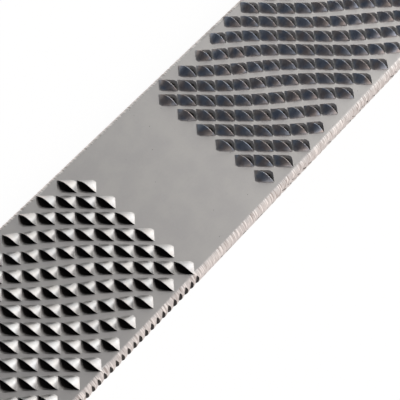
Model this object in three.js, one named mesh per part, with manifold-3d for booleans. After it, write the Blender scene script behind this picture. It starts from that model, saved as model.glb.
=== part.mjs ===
// A double-ended horse rasp: one flat steel bar without a tang or a handle.
// Its top face carries raised rasp teeth, its underside is file cut, both long edges are saw cut,
// and a bare band in the middle is left smooth to hold it by. The teeth of each half cut outwards.
// Millimetres. X runs along the bar, Y across it, and Z up from the underside that it rests on.
import * as THREE from "three";
import { ConvexGeometry } from "three/addons/geometries/ConvexGeometry.js";
import { mergeVertices } from "three/addons/utils/BufferGeometryUtils.js";
import Module from "manifold-3d";

const wasm = await Module();
wasm.setup();

// The bar
const barLength = 350;
const barWidth = 42;
const barThickness = 6;
const roundingAcross = 1.45; // how far the long edges round in from the side, along Y
const roundingDown = 2.4; // how far they round down from the faces, along Z
const endCornerRadius = 3; // corners of the square ends, seen from above
const bareBand = 24.7; // clear length between the two fields of teeth
const plainEnd = 5; // smooth stretch at each end of the bar

// Rasp teeth on the top face, punched in rows across the bar
const toothPitch = 6.06; // from tooth to tooth in a row
const rowPitch = 3.06; // from row to row
const sideMargin = 1.5; // width along each long edge that a row leaves free, apart from its stagger
const rasterAngle = Math.PI / 4; // the sides of a tooth's outline against the axis of the bar
const toothShort = 3.2; // outline of a tooth with its pit, along the rising diagonal
const toothHeight = 1.5; // top of the cutting crest over the face
const crestLean = 0.2; // how far the crest hangs out over its pit
const crestShares = [[-0.25, 0.7], [0, 1], [0.25, 0.7]]; // points of the crest: along it, and its height
const pitDepth = 1;
const pitSetback = 0.3; // deepest point of the pit, ahead of the crest's foot
const rowWander = 0.72; // the rows drift from side to side, so that no tooth runs in another's track
const rowsPerWander = 10;
const wanderStart = 4; // row at which the drift is widest

// The two halves. The one towards -X is the same field turned round on the bar. Each stands a little
// off the bar's middle line, and its first row is staggered to one side by a share of the pitch.
const farField = { turned: false, shift: 0.27, staggerShare: -0.25 };
const nearField = { turned: true, shift: 0.05, staggerShare: 0.25 };

// Saw cut of both long edges
const edgePitch = 1.92;
const edgeDepth = 0.55;
const edgeLead = 0.45; // length of the steep front of an edge tooth

// File cut of the underside
const filePitch = 1.8;
const fileDepth = 0.35;
const fileLead = 0.3; // length of the steep front of a ridge
const fileSlant = (25 * Math.PI) / 180; // ridges against a line square across the bar

const roundingShares = [0, 0.38, 1]; // facets of a rounded long edge: the saw cut stays in the outer one
const endCornerSteps = 4;
const overrun = 1; // how far a cutting tool runs past the steel

const halfLength = barLength / 2;
const halfWidth = barWidth / 2;
const teethPerRow = Math.floor((barWidth - 2 * sideMargin) / toothPitch);
const steelColour = 0xa6a3a0;

// A closed three.js geometry as a solid that can be joined and cut.
function solidOf(geometry) {
  const bare = geometry.clone();
  bare.deleteAttribute("normal");
  bare.deleteAttribute("uv");
  const merged = mergeVertices(bare);
  const triVerts = merged.index
    ? new Uint32Array(merged.index.array)
    : Uint32Array.from(merged.attributes.position.array.keys());
  return new wasm.Manifold(
    new wasm.Mesh({ numProp: 3, vertProperties: merged.attributes.position.array, triVerts }),
  );
}

// The solid back as a three.js geometry.
function geometryOf(solid) {
  const mesh = solid.getMesh();
  const geometry = new THREE.BufferGeometry();
  geometry.setAttribute("position", new THREE.BufferAttribute(mesh.vertProperties, 3));
  geometry.setIndex(new THREE.BufferAttribute(mesh.triVerts, 1));
  geometry.computeVertexNormals();
  return geometry;
}

// Points of one saw-cut stretch from near the middle to the end: steep fronts that face the end,
// long backs that face the middle. Each is [distance along, depth below the uncut line].
function sawTeeth(from, to, pitch, depth, lead) {
  const points = [];
  const count = Math.floor((to - from) / pitch);
  for (let tooth = 0; tooth < count; tooth += 1) {
    const root = from + tooth * pitch;
    points.push([root, tooth === 0 ? 0 : depth], [root + pitch - lead, 0]);
  }
  points.push([from + count * pitch, depth]);
  return points;
}

// One long edge of the plan, as [x, inset from the side], from the middle outwards.
function edgeHalf() {
  const from = bareBand / 2;
  const to = halfLength - plainEnd - endCornerRadius;
  return sawTeeth(from, to, edgePitch, edgeDepth, edgeLead);
}

// The bar seen from above, with both long edges saw cut and rounded corners at the square ends.
function planOutline() {
  const quarter = edgeHalf().map(([x, inset]) => [x, halfWidth - inset]);
  const corner = [];
  for (let step = 0; step <= endCornerSteps; step += 1) {
    const turn = (step / endCornerSteps) * (Math.PI / 2);
    corner.push([
      halfLength - endCornerRadius + endCornerRadius * Math.sin(turn),
      halfWidth - endCornerRadius + endCornerRadius * Math.cos(turn),
    ]);
  }
  const upperRight = [...quarter, ...corner];
  const lowerRight = upperRight.map(([x, y]) => [x, -y]).reverse();
  const right = [...upperRight, ...lowerRight];
  const left = right.map(([x, y]) => [-x, -y]);
  return new THREE.Shape([...right, ...left].map(([x, y]) => new THREE.Vector2(x, y)).reverse());
}

// The bar's section across its length, with its four long edges rounded.
function sectionOutline() {
  const corner = roundingShares.map((share) => {
    const turn = (share * Math.PI) / 2;
    return [
      halfWidth - roundingAcross + roundingAcross * Math.sin(turn),
      barThickness - roundingDown + roundingDown * Math.cos(turn),
    ];
  });
  const rightSide = [...corner, ...corner.map(([y, z]) => [y, barThickness - z]).reverse()];
  const leftSide = rightSide.map(([y, z]) => [-y, z]).reverse();
  return new THREE.Shape([...rightSide, ...leftSide].map(([y, z]) => new THREE.Vector2(y, z)));
}

// The rolled bar, its section drawn along the length.
function rolledBar() {
  const bar = new THREE.ExtrudeGeometry(sectionOutline(), {
    depth: barLength + 2 * overrun,
    bevelEnabled: false,
  });
  bar.translate(0, 0, -halfLength - overrun);
  return bar.rotateX(Math.PI / 2).rotateZ(Math.PI / 2);
}

// What the saw cut and the square ends leave of the bar and of the teeth near its edges.
function planBlock() {
  const block = new THREE.ExtrudeGeometry(planOutline(), {
    depth: barThickness + toothHeight + 2 * overrun,
    bevelEnabled: false,
  });
  return block.translate(0, 0, -overrun);
}

// A place on one of the slanting lines of teeth that cross a half: the line's number, and how many
// rows out from the bare band, where a half row falls between two teeth. The half points to +X.
function onLine(line, row, field) {
  const turn = ((row - wanderStart) / rowsPerWander) * 2 * Math.PI;
  const lineStart = (line - (teethPerRow - 1) / 2 + field.staggerShare) * toothPitch;
  return new THREE.Vector3(
    bareBand / 2 + toothReach() + row * rowPitch,
    field.shift + lineStart - (row * toothPitch) / 2 - rowWander * Math.cos(turn),
    0,
  );
}

// How far a tooth's outline reaches from the middle of its crest, along the bar.
function toothReach() {
  return rowPitch / 2 + (toothShort / 2) * Math.cos(rasterAngle);
}

// The raised tooth behind its crest, and the pit that the punch left in front of it. Neighbours on
// a line share the two corners between them, so that each pit ends where the next tooth rises. A
// corner that lies out over a rounded edge is carried down into the steel under it.
function toothForms(line, row, field) {
  const halfSide = new THREE.Vector3(Math.cos(rasterAngle), Math.sin(rasterAngle), 0);
  halfSide.multiplyScalar(toothShort / 2);
  const behind = onLine(line, row - 0.5, field);
  const before = onLine(line, row + 0.5, field);
  const crestStart = behind.clone().add(halfSide);
  const back = behind.clone().sub(halfSide);
  const front = before.clone().add(halfSide);
  const crestEnd = before.clone().sub(halfSide);
  const chord = new THREE.Vector3().subVectors(crestStart, crestEnd);
  const ahead = new THREE.Vector3(chord.y, -chord.x, 0).normalize();
  const middle = new THREE.Vector3().addVectors(crestStart, crestEnd).divideScalar(2);
  const rise = new THREE.Vector3(0, 0, toothHeight).addScaledVector(ahead, crestLean);
  const crest = crestShares.map(([along, height]) =>
    middle.clone().addScaledVector(chord, along).addScaledVector(rise, height),
  );
  const pitFloor = new THREE.Vector3(0, 0, -pitDepth).addScaledVector(ahead, pitSetback).add(middle);
  const foot = [crestStart, crestEnd, back];
  const overEdge = foot.filter((point) => Math.abs(point.y) > halfWidth - roundingAcross);
  const seat = overEdge.map((point) => point.clone().setZ(-roundingDown));
  return {
    lump: new ConvexGeometry([...foot, ...seat, ...crest]),
    pit: new ConvexGeometry([crestStart, crestEnd, front, pitFloor]),
  };
}

// The solids of one kind for all the teeth of a half. The half towards -X is the same, turned round.
function fieldOf(kind, field) {
  const room = halfLength - plainEnd - bareBand / 2 - 2 * toothReach();
  const solids = [];
  for (let row = 0; row * rowPitch <= room; row += 1) {
    const firstLine = Math.round(row / 2 - field.staggerShare);
    for (let tooth = 0; tooth < teethPerRow; tooth += 1) {
      const form = toothForms(firstLine + tooth, row, field)[kind];
      form.translate(0, 0, barThickness);
      if (field.turned) form.rotateZ(Math.PI);
      solids.push(solidOf(form));
    }
  }
  return solids;
}

// The comb that cuts the ridges of the underside in the half towards +X, slanted across the bar.
function fileComb() {
  const lean = Math.tan(fileSlant);
  const from = bareBand / 2 + halfWidth * lean;
  const to = halfLength - plainEnd - halfWidth * lean;
  const teeth = sawTeeth(from, to, filePitch, fileDepth, fileLead);
  const first = teeth[0];
  const last = teeth[teeth.length - 1];
  const profile = [...teeth, [last[0], -overrun], [first[0], -overrun]];
  const shape = new THREE.Shape(profile.map(([x, z]) => new THREE.Vector2(x, z)));
  const depth = barWidth + 2 * overrun;
  const comb = new THREE.ExtrudeGeometry(shape, { depth, bevelEnabled: false });
  comb.translate(0, 0, -depth / 2).rotateX(Math.PI / 2);
  return comb.applyMatrix4(new THREE.Matrix4().makeShear(0, 0, lean, 0, 0, 0));
}

function raspBlade() {
  const pits = [...fieldOf("pit", farField), ...fieldOf("pit", nearField)];
  const lumps = [...fieldOf("lump", farField), ...fieldOf("lump", nearField)];
  const comb = fileComb();
  const combs = [solidOf(comb), solidOf(comb.clone().rotateZ(Math.PI))];
  const hollowed = solidOf(rolledBar()).subtract(wasm.Manifold.union([...combs, ...pits]));
  return hollowed.add(wasm.Manifold.union(lumps)).intersect(solidOf(planBlock()));
}

const steel = new THREE.MeshStandardMaterial({ color: steelColour, roughness: 0.38, metalness: 1 });
const group = new THREE.Group();
const blade = new THREE.Mesh(geometryOf(raspBlade()), steel);
blade.name = "rasp_blade";
group.add(blade);

export default group;
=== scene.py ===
"""The looks of a double-ended horse rasp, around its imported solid.

The solid's teeth, saw cut and file cut are made again here with their fine forms: arched, leaning
tooth crests over rounded pits, smoothly rounded long edges and a double file cut. Lengths are in
metres. X runs along the bar, Y across it, and Z up from the underside that it rests on.
"""

import math
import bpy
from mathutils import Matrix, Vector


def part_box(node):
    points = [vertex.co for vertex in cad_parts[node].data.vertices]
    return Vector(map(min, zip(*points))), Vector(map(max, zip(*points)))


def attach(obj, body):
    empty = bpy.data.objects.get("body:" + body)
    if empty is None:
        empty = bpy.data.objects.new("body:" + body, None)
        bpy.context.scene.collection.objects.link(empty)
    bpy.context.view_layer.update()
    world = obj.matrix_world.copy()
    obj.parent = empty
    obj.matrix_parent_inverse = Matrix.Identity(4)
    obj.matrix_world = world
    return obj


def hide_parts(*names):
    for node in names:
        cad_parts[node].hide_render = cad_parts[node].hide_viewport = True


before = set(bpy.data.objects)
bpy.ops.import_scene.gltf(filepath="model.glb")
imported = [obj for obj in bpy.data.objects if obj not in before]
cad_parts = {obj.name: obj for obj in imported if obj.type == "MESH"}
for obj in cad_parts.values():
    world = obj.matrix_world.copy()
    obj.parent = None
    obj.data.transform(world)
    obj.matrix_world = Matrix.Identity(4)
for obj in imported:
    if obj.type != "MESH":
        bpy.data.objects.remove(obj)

from types import SimpleNamespace

import bpy
import numpy as np
from mathutils import Matrix, Vector

NODE = "rasp_blade"

# The bar
THICKNESS = 0.006
ROUNDING_ACROSS = 0.00145  # how far the long edges round in from the side, along Y
ROUNDING_DOWN = 0.0024  # how far they round down from the faces, along Z
END_CORNER_RADIUS = 0.003  # corners of the square ends, seen from above
BARE_BAND = 0.0247  # clear length between the two fields of teeth
PLAIN_END = 0.005  # smooth stretch at each end of the bar
ROUNDING_STEPS = 7
END_CORNER_STEPS = 8
PATCH_LENGTH = 0.0042  # the uncut faces are made of patches about this long
FACE_PATCHES = 10  # and this many to the bar's width

# Rasp teeth
TOOTH_PITCH = 0.00606  # from tooth to tooth in a row
ROW_PITCH = 0.00306  # from row to row
TEETH_PER_ROW = 6
RASTER_ANGLE = math.pi / 4  # the sides of a tooth's outline against the axis of the bar
TOOTH_SHORT = 0.0032  # outline of a tooth with its pit, along the rising diagonal
TOOTH_SPREAD = 0.05  # how much one tooth's height differs from the next, as a share
TOOTH_SEED = 7
ROW_WANDER = 0.00072  # the rows drift from side to side, so that no tooth runs in another's track
ROWS_PER_WANDER = 10
WANDER_START = 4  # row at which the drift is widest
CREST_STEPS = 8
CREST_PEAK = 0.52  # where the crest is highest, as a share of its length
CREST_ARCH_POWER = 1.08  # above 1, the arch of the crest falls off faster from its peak
CREST_LEAN = 0.00022  # how far the crest hangs out over its pit
CREST_SWAY = (1.5, 2.0)  # the share of it at the crest's start, and how much less at its end
CREST_HOLLOW = 0.0001  # how far the front sags in under the crest
LAND_WIDTH = 0.00009  # worn land along the crest, leaning to the front
LAND_DROP = 0.00004
BACK_ROUNDING = 0.0006  # how far from its corner the outline behind the crest is rounded off
BACK_SHARES = (0.85, 0.5, 0.0)  # rows of the tooth's back, from near its outline to the crest
BACK_POWERS = (1.2, 0.6)  # how its height grows: hollow at the crest's start, domed at its end
BACK_SIDES = (0.4, 0.75)  # where the one passes into the other, as shares of the crest's length
FOOT_REACH = (1.02, 1.12)  # its soft foot, against its outline, at the crest's start and its end
FOOT_RISE = (0.01, 0.055)  # how high the outline lies on it, as shares of the crest's height
ROOT_SHARE = 0.9  # the tooth's root against its outline, so that its walls stay inside the steel
FRONT_ROUNDING = 0.0011  # how far from its corner the outline ahead of the crest is rounded off
FRONT_SHARES = (0.0, 0.5, 1.0)  # rows of its front, from the crest down to the pit's rim
PIT_DEPTH = 0.0009
PIT_SHARES = (0.0, 0.07, 0.2, 0.5, 1.0)  # rows of the pit, from its rim to its far side
PIT_WALL_SHARE = 0.12  # share of that way at which the pit is deepest
PIT_FADE = 2.4  # how gently the pit's far side runs out

# The two halves. The one towards -X is the same field turned round on the bar. Each stands a
# little off the bar's middle line, and its first row is staggered to one side by a share of the
# pitch.
FIELDS = (
    {"turned": False, "shift": 0.00027, "stagger_share": -0.25},
    {"turned": True, "shift": 0.00005, "stagger_share": 0.25},
)

# Saw cut of the long edges and file cuts of the underside. The lead is a ridge's steep front.
EDGE_PITCH = 0.00192
EDGE_DEPTH = 0.00055
EDGE_LEAD = 0.00045
FILE_CUTS = (
    {"pitch": 0.0018, "depth": 0.00035, "lead": 0.0003, "slant": math.radians(25)},
    {"pitch": 0.0022, "depth": 0.0002, "lead": 0.0004, "slant": math.radians(-18)},
)

# Joining and cutting
OVERRUN = 0.001  # how far a cutting tool runs past the steel
SINK = 0.00001  # how far a tool's rim lies off the face that it cuts, so that the two cross

# Which faces are shaded flat, and which belong to a pit or a tooth's front
SHARP_ANGLE = math.radians(38)
FLAT_COSINE = 0.99995  # faces that are more upright than this are shaded flat
PIT_REACH = 0.62  # how far out over a rounded edge a pit counts as one, as a share of its width
FRONT_COSINE = 0.72  # faces of the teeth that point outwards by more than this are fronts
EDGE_FRONT_COSINE = 0.5  # and so are those of the saw cut

# The steel: its colour, from the ground faces to the shade painted near black into the pits and
# onto the steep fronts
STEEL_LIGHT = (0.74, 0.73, 0.715)
STEEL_DARK = (0.69, 0.68, 0.675)
STAIN_SIZE = 0.006
STAIN_SPAN = (0.3, 0.7)  # values of its noise between which one tone passes into the other
# Painted reflection tints, cool and warm, on the raised teeth
REFLECTION_TINT_COOL = (0.82, 0.94, 1.12)
REFLECTION_TINT_WARM = (1.06, 0.97, 0.93)
REFLECTION_TINT_SHARES = (0.15, 1.0)  # how strong the painted reflection tint is in the half towards -X and in the other
REFLECTION_TINT_SIZE = 0.003
REFLECTION_TINT_SPAN = (0.35, 0.65)
REFLECTION_TINT_DETAIL = 1.0
RAISED_SHARE = 0.25  # share of a tooth's height over which its own look sets in
# Near black: the shade painted into the pits and onto the steep fronts, and also the colour of the
# specks and of the painted rim shade
PAINTED_SHADE_AND_SPECK_COLOUR = (0.01, 0.009, 0.008)
PAINTED_SHADE_DEPTHS = (0.18, 0.55)  # the painted shade sets in between these shares of the pits' depth
PAINTED_SHADE_SHARE = 0.98
PAINTED_SHADE_GLOSS = 0.15  # its specular level, which bare metal hardly shows

# Its grinding lines round the long edges, with painted highlights on them, and painted shade there
EDGE_FADE = 0.8  # share of the rounding that is left where their look has set in
LINE_SIZE = 0.00028
LINE_STRETCH = (1, 20, 20)
LINE_DETAIL = 2.0
LINE_HEIGHT = 0.00006
# Painted highlights: near-white streaks along the lines, high on the long edges
LINE_PAINTED_HIGHLIGHT = (0.98, 0.96, 0.94)
LINE_PAINTED_HIGHLIGHT_SPAN = (0.54, 0.62)
LINE_PAINTED_HIGHLIGHT_HEIGHTS = (0.0034, 0.0046)  # the painted highlights show above these
LINE_DULL = (0.5, 0.46, 0.44)
LINE_DULL_SPAN = (0.42, 0.34)
# Painted shade: dark blotches part way up the walls of the long edges
RIM_SHADE_SIZE = 0.0011
RIM_SHADE_SPAN = (0.5, 0.6)
RIM_SHADE_HEIGHTS = ((0.0018, 0.0024), (0.0031, 0.0025))  # going up, it fades in and then out again

# Its specks
SPECK_SPACING = 0.002
SPECK_SHARE = 0.35  # share of the cells of that spacing that hold one
SPECK_RADIUS = 0.00017
SPECK_DEPTH = 0.00005
SPECK_DARKNESS = 0.6

# Its roughness and grain
GROUND_ROUGHNESS = (0.5, 0.58)  # the satin ground faces
TOOTH_ROUGHNESS = (0.38, 0.46)
PAINTED_SHADE_ROUGHNESS = 0.6
MOTTLE_SIZE = 0.0006
MOTTLE_SPAN = (0.3, 0.7)
GRAIN_SIZE = 0.00012
GRAIN_STRETCH = (1, 8, 1)
GRAIN_DETAIL = 4.0
GRAIN_HEIGHT = 0.000003

# The photograph's camera
PHOTO_SIZE = 400
FOCAL_PIXELS = 1217
SENSOR_WIDTH = 36
VIEW_AZIMUTH = math.radians(-54.33)
VIEW_ELEVATION = math.radians(65.02)
VIEW_ROLL = math.radians(6.10)
VIEW_DISTANCE = 0.283
VIEW_TARGET = Vector((0.0002, -0.00876, THICKNESS))
CAMERA_CLIP = (0.01, 20)

# Light and floor
SKY_SIDE = (0.9, 0, -0.3)  # the sky brightens along this
SKY_STOPS = (
    (-0.45, (0.025, 0.03, 0.042)),
    (-0.28, (0.04, 0.045, 0.057)),
    (-0.06, (0.11, 0.11, 0.115)),
    (0.01, (0.43, 0.43, 0.43)),
    (0.05, (0.53, 0.53, 0.525)),
    (0.18, (0.56, 0.56, 0.55)),
    (0.30, (0.76, 0.76, 0.74)),
    (0.52, (1.2, 1.19, 1.15)),
    (0.74, (1.45, 1.44, 1.4)),
)
SKY_STRENGTH = 1.0
DUSK = (0.03, 0.035, 0.045)  # the least light low in the sky
DUSK_HEIGHTS = (0.5, 0.4)  # it sets in from the first height down to the second
HORIZON = (0.62, 0.61, 0.6)  # and near the floor the sky has this colour
HORIZON_HEIGHTS = (0.2, 0.06)
NEAR_GLOW = (1.0, 0.9, 0.87)
NEAR_SIDE = (0.7, -0.71, 0)  # the glow at the near side fades in along this
NEAR_SPAN = (0.22, 0.5)
FLOOR_REACH = 3
FLOOR_PAINT = (0.9, 0.9, 0.9)
FLOOR_GLOW = 1.1  # how bright it glows to the camera and in the steel
FLOOR_GLOW_SHARE = 0.85  # the rest is its lit paint, which keeps the shadow
FLOOR_TINT = (1.0, 0.9, 0.86)  # its reflection in the steel is a little warm
KEY_PLACE = Vector((0.9, -0.3, 0.7))
KEY_SIZE = (0.6, 0.6)
KEY_POWER = 2

# The inputs and the output of a Mix node that carry colours
MIX_COLOURS = (6, 7)
MIX_RESULT = 2


class Bar:
    """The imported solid's overall sizes."""

    low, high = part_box(NODE)
    half_length = (high[0] - low[0]) / 2
    half_width = (high[1] - low[1]) / 2
    tooth_height = high[2] - THICKNESS


def mesh_object(name, points, faces):
    mesh = bpy.data.meshes.new(name)
    mesh.from_pydata([tuple(p) for p in points], [], faces)
    mesh.validate()
    made = bpy.data.objects.new(name, mesh)
    bpy.context.collection.objects.link(made)
    return made


def together(solids):
    """Many closed solids as a single list of points and faces."""
    points, faces, count = [], [], 0
    for solid_points, solid_faces in solids:
        points.append(solid_points)
        faces.extend([tuple(i + count for i in face) for face in solid_faces])
        count += len(solid_points)
    return np.concatenate(points), faces


def combine(target, operation, name, solid):
    """Joins the target with a solid, or cuts it."""
    tool = mesh_object(name, *solid)
    step = target.modifiers.new(operation, "BOOLEAN")
    step.solver = "MANIFOLD"
    step.operation = operation
    step.object = tool
    depsgraph = bpy.context.evaluated_depsgraph_get()
    made = bpy.data.meshes.new_from_object(target.evaluated_get(depsgraph))
    old = target.data
    target.modifiers.remove(step)
    target.data = made
    bpy.data.meshes.remove(old)
    bpy.data.objects.remove(tool)


def turned_round(solid):
    """The same solid in the other half of the bar."""
    points, faces = solid
    return points * (-1, -1, 1), faces


def prism(outline, low, high):
    """A closed prism over an outline of (x, y) points that runs anticlockwise, seen from above."""
    count = len(outline)
    points = [(x, y, z) for z in (low, high) for x, y in outline]
    faces = [tuple(reversed(range(count))), tuple(range(count, 2 * count))]
    for i in range(count):
        j = (i + 1) % count
        faces.append((i, j, j + count, i + count))
    return np.array(points), faces


def rounded_corner(corner, radii, steps):
    """Points round a corner on a quarter of an ellipse, from its upper side to its outer one."""
    turns = [step / steps * math.pi / 2 for step in range(steps + 1)]
    return [
        (
            corner[0] - radii[0] + radii[0] * math.sin(turn),
            corner[1] - radii[1] + radii[1] * math.cos(turn),
        )
        for turn in turns
    ]


def saw_teeth(start, end, pitch, depth, lead):
    """Points of a cut stretch from the middle outwards: (distance along, depth under the line)."""
    points = []
    count = int((end - start) / pitch)
    for tooth in range(count):
        root = start + tooth * pitch
        points.append((root, 0 if tooth == 0 else depth))
        points.append((root + pitch - lead, 0))
    points.append((start + count * pitch, depth))
    return points


def rolled_bar():
    """The bar's section with its four rounded long edges, drawn along X past both ends.

    Its faces are made of patches, because the cuts would leave ragged strips of longer ones."""
    radii = ROUNDING_ACROSS, ROUNDING_DOWN
    corner = rounded_corner((Bar.half_width, THICKNESS), radii, ROUNDING_STEPS)
    flat = np.linspace(-corner[0][0], corner[0][0], FACE_PATCHES + 1)[1:-1]
    right = corner + [(y, THICKNESS - z) for y, z in reversed(corner)]
    left = [(-y, z) for y, z in reversed(right)]
    under, over = [(y, 0) for y in reversed(flat)], [(y, THICKNESS) for y in flat]
    outline = np.array(right + under + left + over)
    count = len(outline)
    length = 2 * (Bar.half_length + OVERRUN)
    stations = np.linspace(-length / 2, length / 2, round(length / PATCH_LENGTH) + 1)
    points = np.concatenate([np.insert(outline, 0, x, 1) for x in stations])
    faces = [tuple(reversed(range(count))), tuple(range(len(points) - count, len(points)))]
    for ring in range(len(stations) - 1):
        for i in range(count):
            j = (i + 1) % count
            faces.append(tuple(ring * count + k for k in (i, j, j + count, i + count)))
    faces = [tuple(reversed(face)) for face in faces]
    return mesh_object(NODE + "_fine", points, faces)


def plan_block():
    """What the saw cut and the square ends leave, as a block that reaches past both faces."""
    end = Bar.half_length - PLAIN_END - END_CORNER_RADIUS
    cut = saw_teeth(BARE_BAND / 2, end, EDGE_PITCH, EDGE_DEPTH, EDGE_LEAD)
    quarter = [(x, Bar.half_width - inset) for x, inset in cut]
    radii = END_CORNER_RADIUS, END_CORNER_RADIUS
    quarter += rounded_corner((Bar.half_length, Bar.half_width), radii, END_CORNER_STEPS)
    right = quarter + [(x, -y) for x, y in reversed(quarter)]
    outline = right + [(-x, -y) for x, y in right]
    return prism(list(reversed(outline)), -OVERRUN, THICKNESS + Bar.tooth_height + OVERRUN)


def file_comb(cut):
    """The comb of one file cut, in the half towards +X, slanted across the bar."""
    lean = math.tan(cut["slant"])
    start = BARE_BAND / 2 + Bar.half_width * abs(lean)
    end = Bar.half_length - PLAIN_END - Bar.half_width * abs(lean)
    teeth = saw_teeth(start, end, cut["pitch"], cut["depth"], cut["lead"])
    profile = [(teeth[0][0], -OVERRUN), (teeth[-1][0], -OVERRUN)] + list(reversed(teeth))
    reach = Bar.half_width + OVERRUN
    points, faces = prism(profile, -reach, reach)
    across = -points[:, 2]
    return np.stack([points[:, 0] + lean * across, across, points[:, 1]], 1), faces


def tooth_reach():
    """How far a tooth's outline reaches from the middle of its crest, along the bar."""
    return ROW_PITCH / 2 + TOOTH_SHORT / 2 * math.cos(RASTER_ANGLE)


def on_line(line, row, field):
    """A place on one of the slanting lines of teeth, in a half that points to +X."""
    turn = (row - WANDER_START) / ROWS_PER_WANDER * 2 * math.pi
    line_start = (line - (TEETH_PER_ROW - 1) / 2 + field["stagger_share"]) * TOOTH_PITCH
    return np.array(
        [
            BARE_BAND / 2 + tooth_reach() + row * ROW_PITCH,
            field["shift"] + line_start - row * TOOTH_PITCH / 2 - ROW_WANDER * math.cos(turn),
        ]
    )


def rounded_path(start, corner, end, rounding):
    """Evenly spaced points from start to end by way of a corner that is rounded off."""
    to_start = (start - corner) / np.linalg.norm(start - corner)
    to_end = (end - corner) / np.linalg.norm(end - corner)
    first, last = corner + rounding * to_start, corner + rounding * to_end
    shares = np.linspace(0, 1, CREST_STEPS + 1)[:, None]
    bend = (1 - shares) ** 2 * first + 2 * shares * (1 - shares) * corner + shares**2 * last
    path = np.concatenate([[start], bend, [end]])
    along = np.concatenate([[0], np.cumsum(np.linalg.norm(np.diff(path, axis=0), axis=1))])
    wanted = np.linspace(0, along[-1], CREST_STEPS + 1)
    return np.stack([np.interp(wanted, along, path[:, axis]) for axis in (0, 1)], 1)


def lens(rows, far_rows):
    """A closed solid wound from rows of points that all start and end at the same two places.

    The rows in far_rows share one pair of end points and the others share another."""
    rows = np.array(rows)
    near = [r for r in range(len(rows)) if r not in far_rows][0]
    ends = [rows[near][0], rows[near][-1], rows[far_rows[0]][0], rows[far_rows[0]][-1]]
    points = np.concatenate([ends, rows[:, 1:-1].reshape(-1, 3)])
    inner = rows.shape[1] - 2

    def index(row, step):
        side = 2 if row in far_rows else 0
        if step == 0:
            return side
        if step == inner + 1:
            return side + 1
        return len(ends) + row * inner + step - 1

    faces = []
    for row in range(len(rows)):
        after = (row + 1) % len(rows)
        for step in range(inner + 1):
            corners = ((row, step), (row, step + 1), (after, step + 1), (after, step))
            loop = [index(*corner) for corner in corners]
            face = tuple(p for i, p in enumerate(loop) if p != loop[i - 1])
            if len(face) > 2:
                faces.append(face)
    return points, faces


def at_height(places, heights):
    """Places on the plan as points, all at one height or each at its own."""
    return np.concatenate([places, np.broadcast_to(heights, len(places))[:, None]], 1)


def tooth_plan(line, row, field):
    """A tooth's lines as seen from above, and its crest's arch, in steps along the crest."""
    half_side = TOOTH_SHORT / 2 * np.array([math.cos(RASTER_ANGLE), math.sin(RASTER_ANGLE)])
    behind, before = on_line(line, row - 0.5, field), on_line(line, row + 0.5, field)
    start, end = behind + half_side, before - half_side
    share = np.linspace(0, 1, CREST_STEPS + 1)
    along = (end - start) / np.linalg.norm(end - start)
    rise = np.where(share < CREST_PEAK, share / CREST_PEAK, (1 - share) / (1 - CREST_PEAK))
    return SimpleNamespace(
        share=share,
        chord=start + share[:, None] * (end - start),
        middle=(start + end) / 2,
        ahead=np.array([-along[1], along[0]]),
        back=rounded_path(start, behind - half_side, end, BACK_ROUNDING),
        front=rounded_path(start, before + half_side, end, FRONT_ROUNDING),
        arch=(rise * (2 - rise)) ** CREST_ARCH_POWER,
    )


def raised_tooth(plan, size):
    """The tooth behind its crest, down to a root inside the steel.

    Its rows run from the root up the back to the crest, and down the front to the root."""
    chord, back, ahead, arch = plan.chord, plan.back, plan.ahead, plan.arch
    height = Bar.tooth_height * size * arch
    sway = arch * (CREST_SWAY[0] - CREST_SWAY[1] * plan.share)
    lean = CREST_LEAN * size * sway[:, None] * ahead
    face = THICKNESS - SINK

    centre = plan.middle - TOOTH_SHORT / 4 * ahead
    root = [centre + ROOT_SHARE * (path - centre) for path in (back, chord)]
    beside = np.clip((plan.share - BACK_SIDES[0]) / (BACK_SIDES[1] - BACK_SIDES[0]), 0, 1)
    reach, foot, power = (
        first + (last - first) * beside for first, last in (FOOT_REACH, FOOT_RISE, BACK_POWERS)
    )
    rows = [
        at_height(root[0], THICKNESS - ROUNDING_DOWN),
        at_height(chord + reach[:, None] * (back - chord), face),
        at_height(back + foot[:, None] * lean, face + height * foot),
    ]
    for v in BACK_SHARES:
        rise = (1 - v) ** power
        place = chord + v * (back - chord) + rise[:, None] * lean
        rows.append(at_height(place, face + height * rise))
    for q in FRONT_SHARES:
        hollow = CREST_HOLLOW * math.sin(math.pi * q) * arch[:, None] * ahead
        land = (1 - q) * np.sqrt(arch)
        place = chord + (1 - q) * lean - hollow + LAND_WIDTH * land[:, None] * ahead
        rows.append(at_height(place, face + height * (1 - q) - LAND_DROP * land))
    rows.append(at_height(root[1], THICKNESS - ROUNDING_DOWN))
    return lens(rows, (0, len(rows) - 1))


def pit(plan):
    """What the punch leaves empty in front of a tooth.

    Its rows run from over its far side down through the pit to its rim, and up again."""
    rows = [at_height(plan.front, THICKNESS + OVERRUN)]
    for v in reversed(PIT_SHARES):
        if v < PIT_WALL_SHARE:
            fall = 1 - (1 - v / PIT_WALL_SHARE) ** 2
        else:
            fall = (1 - ((v - PIT_WALL_SHARE) / (1 - PIT_WALL_SHARE)) ** 2) ** PIT_FADE
        depth = PIT_DEPTH * fall * np.sqrt(plan.arch)
        place = plan.chord + v * (plan.front - plan.chord)
        rows.append(at_height(place, THICKNESS - SINK - depth))
    rows.append(at_height(plan.chord, THICKNESS + OVERRUN))
    return lens(rows, (0, len(rows) - 1))


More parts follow.
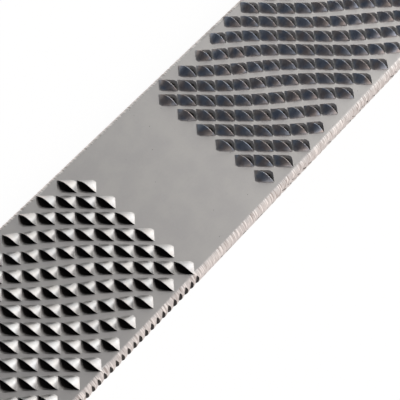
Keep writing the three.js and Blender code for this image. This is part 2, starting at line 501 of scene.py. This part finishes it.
def teeth():
    """The raised teeth and the pits of both halves, the even rows first and then the odd ones.

    Neighbours on a line touch, so they don't go into the steel with the same cut."""
    chance = np.random.default_rng(TOOTH_SEED)
    room = Bar.half_length - PLAIN_END - BARE_BAND / 2 - 2 * tooth_reach()
    raised, pits = ([], []), ([], [])
    for field in FIELDS:
        for row in range(int(room / ROW_PITCH) + 1):
            first_line = math.floor(row / 2 - field["stagger_share"] + 0.5)
            for place in range(TEETH_PER_ROW):
                plan = tooth_plan(first_line + place, row, field)
                size = 1 - TOOTH_SPREAD * chance.random()
                for solid, solids in ((raised_tooth(plan, size), raised), (pit(plan), pits)):
                    solids[row % 2].append(turned_round(solid) if field["turned"] else solid)
    return raised, pits


def blade():
    """The whole rasp as one closed mesh."""
    body = rolled_bar()
    raised, pits = teeth()
    for solids in pits:
        combine(body, "DIFFERENCE", "pits", together(solids))
    for cut in FILE_CUTS:
        comb = file_comb(cut)
        combine(body, "DIFFERENCE", "combs", together([comb, turned_round(comb)]))
    for solids in raised:
        combine(body, "UNION", "lumps", together(solids))
    combine(body, "INTERSECT", "plan", plan_block())
    return body


def vectors(items, name):
    """A vector property of each vertex or face, one to a row."""
    values = np.empty(len(items) * 3)
    items.foreach_get(name, values)
    return values.reshape(-1, 3)


def smooth_where_curved(mesh):
    """Smooth shading, kept off the flat faces and broken at sharp edges."""
    upright = np.abs(vectors(mesh.polygons, "normal")[:, 2]) > FLAT_COSINE
    mesh.set_sharp_from_angle(angle=SHARP_ANGLE)
    mesh.polygons.foreach_set("use_smooth", ~upright)
    mesh.update()


def mark_depth(mesh):
    """Stores how deep each point lies in a pit, straight down from the bar's uncut surface."""
    places = vectors(mesh.vertices, "co")
    beyond = np.abs(places[:, 1]) - (Bar.half_width - ROUNDING_ACROSS)
    beyond = np.clip(beyond / ROUNDING_ACROSS, 0, 1)
    surface = THICKNESS - ROUNDING_DOWN * (1 - np.sqrt(1 - beyond**2))
    depth = np.where(beyond < PIT_REACH, surface - places[:, 2], 0)
    depth = np.where(places[:, 2] > THICKNESS / 2, depth, 0)
    mesh.attributes.new("depth", "FLOAT", "POINT").data.foreach_set("value", depth / PIT_DEPTH)


def mark_fronts(mesh):
    """Stores which faces are the steep fronts of rasp teeth or of the saw cut."""
    normals, centres = vectors(mesh.polygons, "normal"), vectors(mesh.polygons, "center")
    outwards = normals[:, 0] * np.sign(centres[:, 0])
    on_edge = np.abs(centres[:, 1]) > Bar.half_width - EDGE_DEPTH
    front = (outwards > FRONT_COSINE) & (centres[:, 2] > THICKNESS - PIT_DEPTH)
    front |= (outwards > EDGE_FRONT_COSINE) & on_edge
    front &= np.abs(centres[:, 0]) < Bar.half_length - PLAIN_END
    mesh.attributes.new("front", "FLOAT", "FACE").data.foreach_set("value", front.astype(float))


def feed(tree, value, socket):
    """Links an input to another node's output, or gives it a fixed number, vector or colour."""
    if isinstance(value, bpy.types.NodeSocket):
        tree.links.new(value, socket)
    elif socket.type == "RGBA":
        socket.default_value = (*value, 1)
    else:
        socket.default_value = value


def node(tree, kind, **settings):
    """A new node. Settings name its properties, or its inputs with _ for a space."""
    made = tree.nodes.new(kind)
    for name, value in settings.items():
        if hasattr(made, name):
            setattr(made, name, value)
        else:
            feed(tree, value, made.inputs[name.replace("_", " ")])
    return made


def attribute(tree, name):
    return node(tree, "ShaderNodeAttribute", attribute_name=name).outputs["Fac"]


def along_axis(tree, place, axis):
    return node(tree, "ShaderNodeSeparateXYZ", Vector=place).outputs[axis]


def math_node(tree, operation, *values):
    """A maths node over sockets or numbers."""
    made = node(tree, "ShaderNodeMath", operation=operation)
    for value, socket in zip(values, made.inputs):
        feed(tree, value, socket)
    return made.outputs["Value"]


def product(tree, first, *others):
    """Sockets or numbers multiplied together."""
    for factor in others:
        first = math_node(tree, "MULTIPLY", first, factor)
    return first


def mapped(tree, value, span, ends=(0, 1), kind="LINEAR"):
    """A value carried over from its own span to that between two ends, and held there."""
    made = node(tree, "ShaderNodeMapRange", interpolation_type=kind, Value=value)
    for name, limit in zip(("From Min", "From Max", "To Min", "To Max"), (*span, *ends)):
        feed(tree, limit, made.inputs[name])
    return made.outputs["Result"]


def faded(tree, value, span):
    """0 to 1 as the value goes through its span, with soft ends."""
    return mapped(tree, value, span, kind="SMOOTHSTEP")


def towards(tree, direction, side):
    """How far a direction points to a side, as their dot product."""
    made = node(tree, "ShaderNodeVectorMath", operation="DOT_PRODUCT")
    for value, socket in zip((direction, side), made.inputs):
        feed(tree, value, socket)
    return made.outputs["Value"]


def ramp(tree, value, stops):
    """A colour ramp over (place, colour) stops, driven by a socket."""
    made = node(tree, "ShaderNodeValToRGB", Fac=value)
    elements = made.color_ramp.elements
    while len(elements) < len(stops):
        elements.new(0.5)
    for element, (place, colour) in zip(elements, stops):
        element.position = place
        element.color = (*colour, 1)
    return made.outputs["Color"]


def blend(tree, share, first, second, kind="MIX"):
    """The first colour with a share of the second. Each is a socket or a fixed colour."""
    made = node(tree, "ShaderNodeMix", data_type="RGBA", blend_type=kind)
    tree.links.new(share, made.inputs["Factor"])
    for index, colour in zip(MIX_COLOURS, (first, second)):
        feed(tree, colour, made.inputs[index])
    return made.outputs[MIX_RESULT]


def shader_blend(tree, share, first, second):
    """The first shader with a share of the second."""
    made = node(tree, "ShaderNodeMixShader", Fac=share)
    for shader, socket in zip((first, second), list(made.inputs)[1:]):
        tree.links.new(shader.outputs[0], socket)
    return made.outputs["Shader"]


def noise(tree, place, size, stretch=(1, 1, 1), detail=3.0):
    """Noise with features of about a size in metres, drawn out by the stretch."""
    scale = [1 / (size * longer) for longer in stretch]
    spread = node(tree, "ShaderNodeMapping", Vector=place, Scale=scale).outputs["Vector"]
    made = node(tree, "ShaderNodeTexNoise", Vector=spread, Scale=1.0, Detail=detail)
    return made.outputs["Fac"]


def specks(tree, place):
    """Tiny dents, one in some of the cells of a loose grid: 1 in a dent and 0 around it."""
    scale = (1 / SPECK_SPACING,) * 3
    spread = node(tree, "ShaderNodeMapping", Vector=place, Scale=scale).outputs["Vector"]
    cells = node(tree, "ShaderNodeTexVoronoi", Vector=spread, Scale=1.0)
    chance = node(tree, "ShaderNodeSeparateColor", Color=cells.outputs["Color"])
    chosen = math_node(tree, "LESS_THAN", chance.outputs["Red"], SPECK_SHARE)
    dent = faded(tree, cells.outputs["Distance"], (SPECK_RADIUS / SPECK_SPACING, 0))
    return product(tree, chosen, dent)


def bump(tree, height, size, below=None):
    """The normal over a height socket, on top of another bump's normal."""
    made = node(tree, "ShaderNodeBump", Height=height, Strength=1.0, Distance=size)
    if below:
        tree.links.new(below, made.inputs["Normal"])
    return made.outputs["Normal"]


def steel_marks(tree, place):
    """What the steel's look goes by, as values from 0 to 1 over its surface."""
    across = math_node(tree, "ABSOLUTE", along_axis(tree, place, "Y"))
    edge = Bar.half_width - ROUNDING_ACROSS, Bar.half_width - EDGE_FADE * ROUNDING_ACROSS
    raised = THICKNESS, THICKNESS + RAISED_SHARE * Bar.tooth_height
    # scale is painted shade: near black deep in the pits and on the steep fronts of the teeth and
    # the saw cut
    deep = product(tree, faded(tree, attribute(tree, "depth"), PAINTED_SHADE_DEPTHS), PAINTED_SHADE_SHARE)
    return SimpleNamespace(
        edge=faded(tree, across, edge),
        raised=faded(tree, along_axis(tree, place, "Z"), raised),
        scale=math_node(tree, "MAXIMUM", deep, attribute(tree, "front")),
        lines=noise(tree, place, LINE_SIZE, LINE_STRETCH, LINE_DETAIL),
        dents=specks(tree, place),
    )


def steel_colour(tree, place, marks):
    """Stains, painted reflection tints, grinding lines with painted highlights, painted shade part
    way up the long edges, specks, and painted shade in the pits and on the fronts, laid over each
    other in turn.
    """
    height = along_axis(tree, place, "Z")
    stain = faded(tree, noise(tree, place, STAIN_SIZE), STAIN_SPAN)
    colour = blend(tree, stain, STEEL_LIGHT, STEEL_DARK)

    # painted reflection tints on the teeth, much stronger in the half towards +X
    tint = faded(tree, noise(tree, place, REFLECTION_TINT_SIZE, detail=REFLECTION_TINT_DETAIL), REFLECTION_TINT_SPAN)
    tint = blend(tree, tint, REFLECTION_TINT_COOL, REFLECTION_TINT_WARM)
    band = -BARE_BAND / 2, BARE_BAND / 2
    reflection_tint_share = mapped(tree, along_axis(tree, place, "X"), band, REFLECTION_TINT_SHARES)
    colour = blend(tree, product(tree, marks.raised, reflection_tint_share), colour, tint, "MULTIPLY")

    dull = product(tree, faded(tree, marks.lines, LINE_DULL_SPAN), marks.edge)
    colour = blend(tree, dull, colour, LINE_DULL)
    # painted highlights: near-white streaks high on the long edges
    bright = faded(tree, marks.lines, LINE_PAINTED_HIGHLIGHT_SPAN)
    bright = product(tree, bright, marks.edge, faded(tree, height, LINE_PAINTED_HIGHLIGHT_HEIGHTS))
    colour = blend(tree, bright, colour, LINE_PAINTED_HIGHLIGHT)

    # painted shade: dark blotches part way up the long edges
    painted_rim_shade = faded(tree, noise(tree, place, RIM_SHADE_SIZE), RIM_SHADE_SPAN)
    rim = [faded(tree, height, heights) for heights in RIM_SHADE_HEIGHTS]
    colour = blend(tree, product(tree, painted_rim_shade, *rim, marks.edge), colour, PAINTED_SHADE_AND_SPECK_COLOUR)
    colour = blend(tree, product(tree, marks.dents, SPECK_DARKNESS), colour, PAINTED_SHADE_AND_SPECK_COLOUR)
    # painted shade: the pits and the steep fronts turn near black
    return blend(tree, marks.scale, colour, PAINTED_SHADE_AND_SPECK_COLOUR)


def steel_roughness(tree, place, marks):
    """Satin on the ground faces, smoother on the teeth and dull where shade is painted into the
    pits and onto the fronts.
    """
    pairs = zip(GROUND_ROUGHNESS, TOOTH_ROUGHNESS)
    ends = [mapped(tree, marks.raised, (0, 1), pair) for pair in pairs]
    bare = mapped(tree, noise(tree, place, MOTTLE_SIZE), MOTTLE_SPAN, ends)
    return mapped(tree, marks.scale, (0, 1), (bare, PAINTED_SHADE_ROUGHNESS))


def steel_normal(tree, place, marks):
    """Fine grain, with the grinding lines and the specks over it."""
    grain = noise(tree, place, GRAIN_SIZE, GRAIN_STRETCH, GRAIN_DETAIL)
    normal = bump(tree, grain, GRAIN_HEIGHT)
    normal = bump(tree, product(tree, marks.lines, marks.edge), LINE_HEIGHT, normal)
    return bump(tree, marks.dents, -SPECK_DEPTH, normal)


def steel():
    """Bare tool steel: satin ground and hardened, with shade painted near black into the pits and
    onto the tooth fronts.
    """
    material = bpy.data.materials.new("tool_steel")
    material.use_nodes = True
    tree = material.node_tree
    place = node(tree, "ShaderNodeTexCoord").outputs["Object"]
    marks = steel_marks(tree, place)
    inputs = tree.nodes["Principled BSDF"].inputs
    # where shade is painted, the surface is a dull non-metal with this specular level
    inputs["Specular IOR Level"].default_value = PAINTED_SHADE_GLOSS
    feed(tree, steel_colour(tree, place, marks), inputs["Base Color"])
    feed(tree, math_node(tree, "SUBTRACT", 1.0, marks.scale), inputs["Metallic"])
    feed(tree, steel_roughness(tree, place, marks), inputs["Roughness"])
    feed(tree, steel_normal(tree, place, marks), inputs["Normal"])
    return material


def studio():
    """The world: a bright side towards +X, a dim slate one towards -X, and white to the camera."""
    world = bpy.data.worlds.new("studio")
    bpy.context.scene.world = world
    world.use_nodes = True
    tree = world.node_tree
    tree.nodes.clear()
    direction = node(tree, "ShaderNodeTexCoord").outputs["Generated"]
    height = along_axis(tree, direction, "Z")
    side = mapped(tree, towards(tree, direction, SKY_SIDE), (-1, 1))
    lit = ramp(tree, side, [((stop + 1) / 2, colour) for stop, colour in SKY_STOPS])
    lit = blend(tree, faded(tree, height, DUSK_HEIGHTS), lit, DUSK, "LIGHTEN")
    lit = blend(tree, faded(tree, height, HORIZON_HEIGHTS), lit, HORIZON)
    near = faded(tree, towards(tree, direction, NEAR_SIDE), NEAR_SPAN)
    lit = blend(tree, near, lit, NEAR_GLOW, "LIGHTEN")
    light = node(tree, "ShaderNodeBackground", Color=lit, Strength=SKY_STRENGTH)
    white = node(tree, "ShaderNodeBackground", Color=(1, 1, 1), Strength=1.0)
    seen = node(tree, "ShaderNodeLightPath").outputs["Is Camera Ray"]
    node(tree, "ShaderNodeOutputWorld", Surface=shader_blend(tree, seen, light, white))


def floor():
    """A plain white floor, which keeps a faint shadow of the rasp."""
    signs = ((-1, -1), (1, -1), (1, 1), (-1, 1))
    corners = [(x * FLOOR_REACH, y * FLOOR_REACH, 0) for x, y in signs]
    made = mesh_object("floor", corners, [(0, 1, 2, 3)])
    material = bpy.data.materials.new("floor_white")
    material.use_nodes = True
    tree = material.node_tree
    tree.nodes.clear()
    path = node(tree, "ShaderNodeLightPath").outputs
    paint = node(tree, "ShaderNodeBsdfDiffuse", Color=FLOOR_PAINT)
    tint = blend(tree, path["Is Glossy Ray"], (1, 1, 1), FLOOR_TINT)
    glow = node(tree, "ShaderNodeEmission", Color=tint, Strength=FLOOR_GLOW)
    seen = math_node(tree, "MAXIMUM", path["Is Camera Ray"], path["Is Glossy Ray"])
    share = product(tree, seen, FLOOR_GLOW_SHARE)
    node(tree, "ShaderNodeOutputMaterial", Surface=shader_blend(tree, share, paint, glow))
    made.data.materials.append(material)


def key_light():
    """One large soft lamp, high on the +X side."""
    lamp = bpy.data.lights.new("key", "AREA")
    lamp.shape = "RECTANGLE"
    lamp.size, lamp.size_y = KEY_SIZE
    lamp.energy = KEY_POWER
    made = bpy.data.objects.new("key", lamp)
    made.location = KEY_PLACE
    made.rotation_mode = "QUATERNION"
    made.rotation_quaternion = (VIEW_TARGET - made.location).to_track_quat("-Z", "Y")
    bpy.context.collection.objects.link(made)


def photo_camera():
    """The camera at the photograph's place and roll."""
    backwards = Vector(
        (
            math.cos(VIEW_ELEVATION) * math.sin(VIEW_AZIMUTH),
            -math.cos(VIEW_ELEVATION) * math.cos(VIEW_AZIMUTH),
            math.sin(VIEW_ELEVATION),
        )
    )
    level = Vector((0, 0, 1)).cross(backwards).normalized()
    upward = backwards.cross(level)
    right = math.cos(VIEW_ROLL) * level + math.sin(VIEW_ROLL) * upward
    up = math.cos(VIEW_ROLL) * upward - math.sin(VIEW_ROLL) * level
    data = bpy.data.cameras.new("photo_camera")
    data.sensor_width = SENSOR_WIDTH
    data.lens = FOCAL_PIXELS / PHOTO_SIZE * SENSOR_WIDTH
    data.clip_start, data.clip_end = CAMERA_CLIP
    made = bpy.data.objects.new("photo_camera", data)
    turn = Matrix((right, up, backwards)).transposed().to_4x4()
    made.matrix_world = Matrix.Translation(VIEW_TARGET + VIEW_DISTANCE * backwards) @ turn
    bpy.context.collection.objects.link(made)
    bpy.context.scene.camera = made


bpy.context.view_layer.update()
body = blade()
smooth_where_curved(body.data)
mark_depth(body.data)
mark_fronts(body.data)
body.data.materials.clear()
body.data.materials.append(steel())
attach(body, "root")
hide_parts(NODE)
floor()
studio()
key_light()
photo_camera()
bpy.context.scene.view_settings.view_transform = "Standard"
